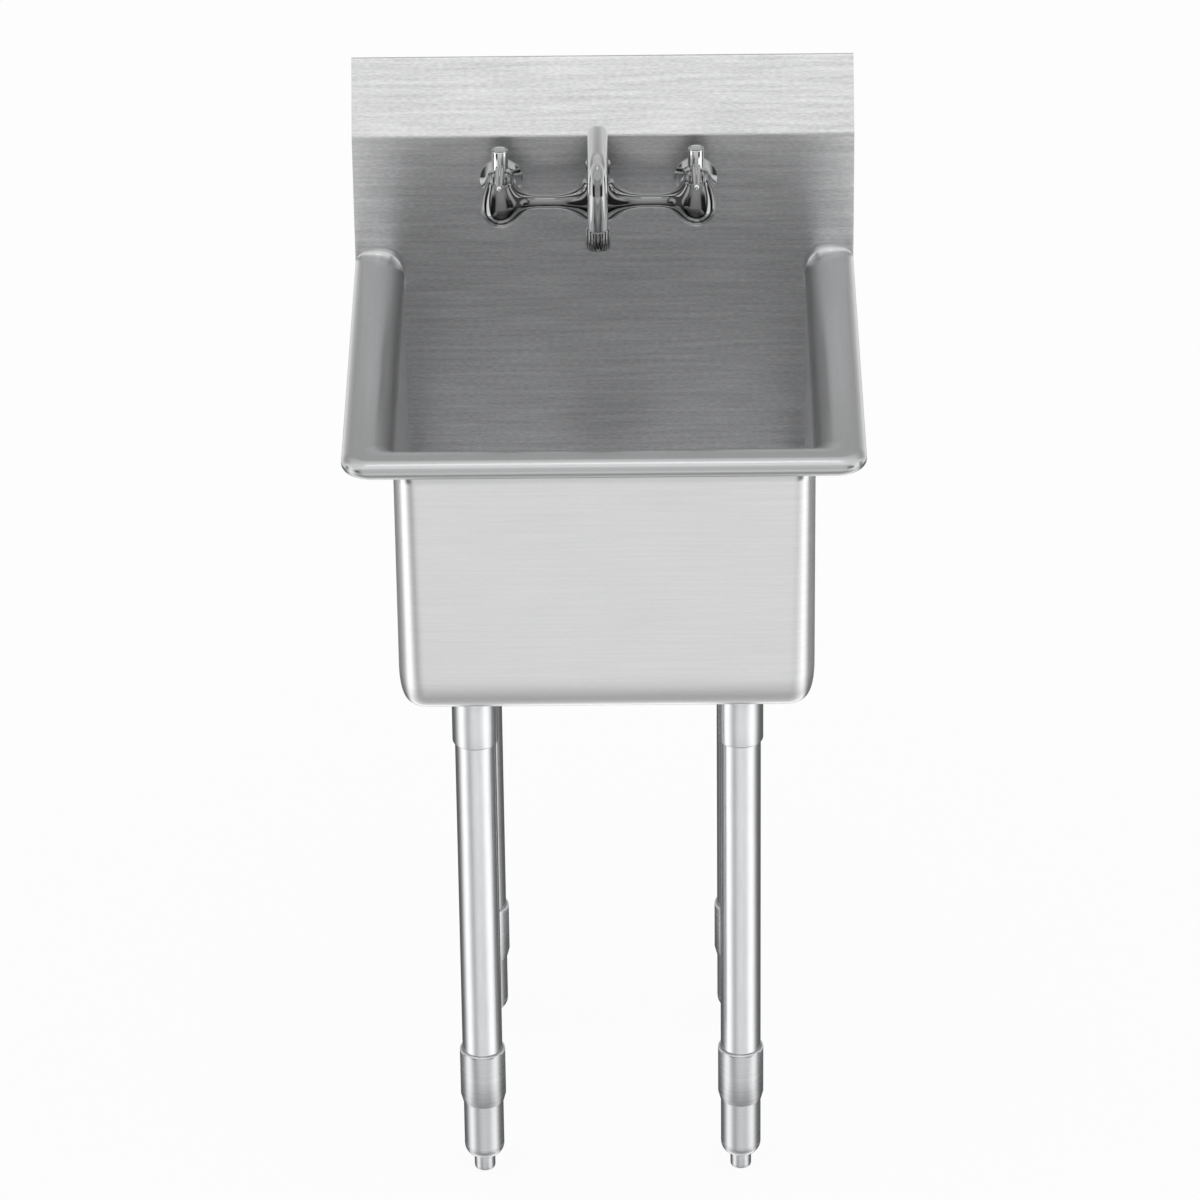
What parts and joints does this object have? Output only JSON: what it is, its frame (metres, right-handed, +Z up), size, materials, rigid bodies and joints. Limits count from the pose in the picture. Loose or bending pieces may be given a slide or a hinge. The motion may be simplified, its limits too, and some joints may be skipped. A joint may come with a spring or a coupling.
{
  "type": "utility laundry sink",
  "caption": "Free-standing stainless steel utility sink with a deep bowl, rolled rim and backsplash on tube legs, with a wall-mounted bridge tap and a basket strainer.",
  "frame": {"origin": "on the floor under the middle of the outer box, with the feet screwed home", "axes": "+Z up, -Y towards the user at the front rim, +X to the right as the user faces the sink"},
  "size_m": [0.5108, 0.5077, 1.0943],
  "materials": {
    "bowl_steel": "satin, fine level grain",
    "rim_steel": "satin, grain along the rim",
    "splash_steel": "satin, fine level grain",
    "bracket_steel": "smooth pressed sheet",
    "leg_steel": "satin, grain round the tube",
    "collar_steel": "turned satin",
    "screw_steel": "zinc plated",
    "drain_steel": "polished pressing",
    "seal_rubber": "matt",
    "fibre_ring": "pressed fibre",
    "locknut_metal": "die-cast, plated",
    "nut_plastic": "chrome plated",
    "white_plastic": "moulded",
    "tail_chrome": "chrome plated",
    "brass": "machined",
    "cartridge_plastic": "moulded",
    "tap_chrome": "mirror chrome plating"
  },
  "bodies": {
    "sink": {"bowl": "bowl_steel", "rolled_rim": "rim_steel", "backsplash": "splash_steel", "channel_left": "bracket_steel", "channel_right": "bracket_steel", "socket_front_left": "bracket_steel", "socket_front_right": "bracket_steel", "socket_back_left": "bracket_steel", "socket_back_right": "bracket_steel", "socket_set_screws": "screw_steel", "leg_front_left": "leg_steel", "leg_front_right": "leg_steel", "leg_back_left": "leg_steel", "leg_back_right": "leg_steel", "collar_front_left": "collar_steel", "collar_front_right": "collar_steel", "collar_back_left": "collar_steel", "collar_back_right": "collar_steel", "strainer_body": "drain_steel", "drain_gasket": "seal_rubber", "friction_ring": "fibre_ring", "drain_locknut": "locknut_metal", "tailpiece": "tail_chrome", "tail_washer": "white_plastic", "coupling_nut": "nut_plastic", "tap_body": "tap_chrome", "wall_flange_left": "tap_chrome", "wall_flange_right": "tap_chrome", "union_nut_left": "tap_chrome", "union_nut_right": "tap_chrome", "inlet_shank_left": "brass", "inlet_shank_right": "brass", "shank_washers": "seal_rubber", "shank_nuts": "brass", "hot_cartridge": "cartridge_plastic", "cold_cartridge": "cartridge_plastic", "hot_bonnet": "tap_chrome", "cold_bonnet": "tap_chrome", "spout_nut": "tap_chrome", "spout_seal": "seal_rubber"},
    "hot_handle": {"hot_handle": "tap_chrome", "hot_stem": "brass", "hot_handle_screw": "screw_steel", "hot_cap": "tap_chrome"},
    "cold_handle": {"cold_handle": "tap_chrome", "cold_stem": "brass", "cold_handle_screw": "screw_steel", "cold_cap": "tap_chrome"},
    "spout": {"spout_tube": "tap_chrome", "aerator_housing": "tap_chrome", "aerator_screen": "white_plastic"},
    "basket": {"strainer_basket": "drain_steel", "basket_stopper": "seal_rubber", "basket_knob": "drain_steel"},
    "foot_front_left": {"foot_front_left": "leg_steel"},
    "foot_front_right": {"foot_front_right": "leg_steel"},
    "foot_back_left": {"foot_back_left": "leg_steel"},
    "foot_back_right": {"foot_back_right": "leg_steel"}
  },
  "joints": [
    {"name": "hot_valve_turn", "type": "hinge", "parent": "sink", "child": "hot_handle", "pos_m": [-0.104, 0.14753, 1.0208], "axis": [0, 0, 1], "range_deg": [-90, 0]},
    {"name": "cold_valve_turn", "type": "hinge", "parent": "sink", "child": "cold_handle", "pos_m": [0.094, 0.14753, 1.0208], "axis": [0, 0, 1], "range_deg": [0, 90]},
    {"name": "spout_swivel", "type": "hinge", "parent": "sink", "child": "spout", "pos_m": [-0.005, 0.14753, 1.064], "axis": [0, 0, 1], "range_deg": [-50, 50]},
    {"name": "basket_lift", "type": "slide", "parent": "sink", "child": "basket", "axis": [0, 0, 1], "range_m": [0, 0.3]},
    {"name": "foot_front_left_level", "type": "slide", "parent": "sink", "child": "foot_front_left", "axis": [0, 0, -1], "range_m": [0, 0.025]},
    {"name": "foot_front_right_level", "type": "slide", "parent": "sink", "child": "foot_front_right", "axis": [0, 0, -1], "range_m": [0, 0.025]},
    {"name": "foot_back_left_level", "type": "slide", "parent": "sink", "child": "foot_back_left", "axis": [0, 0, -1], "range_m": [0, 0.025]},
    {"name": "foot_back_right_level", "type": "slide", "parent": "sink", "child": "foot_back_right", "axis": [0, 0, -1], "range_m": [0, 0.025]}
  ]
}
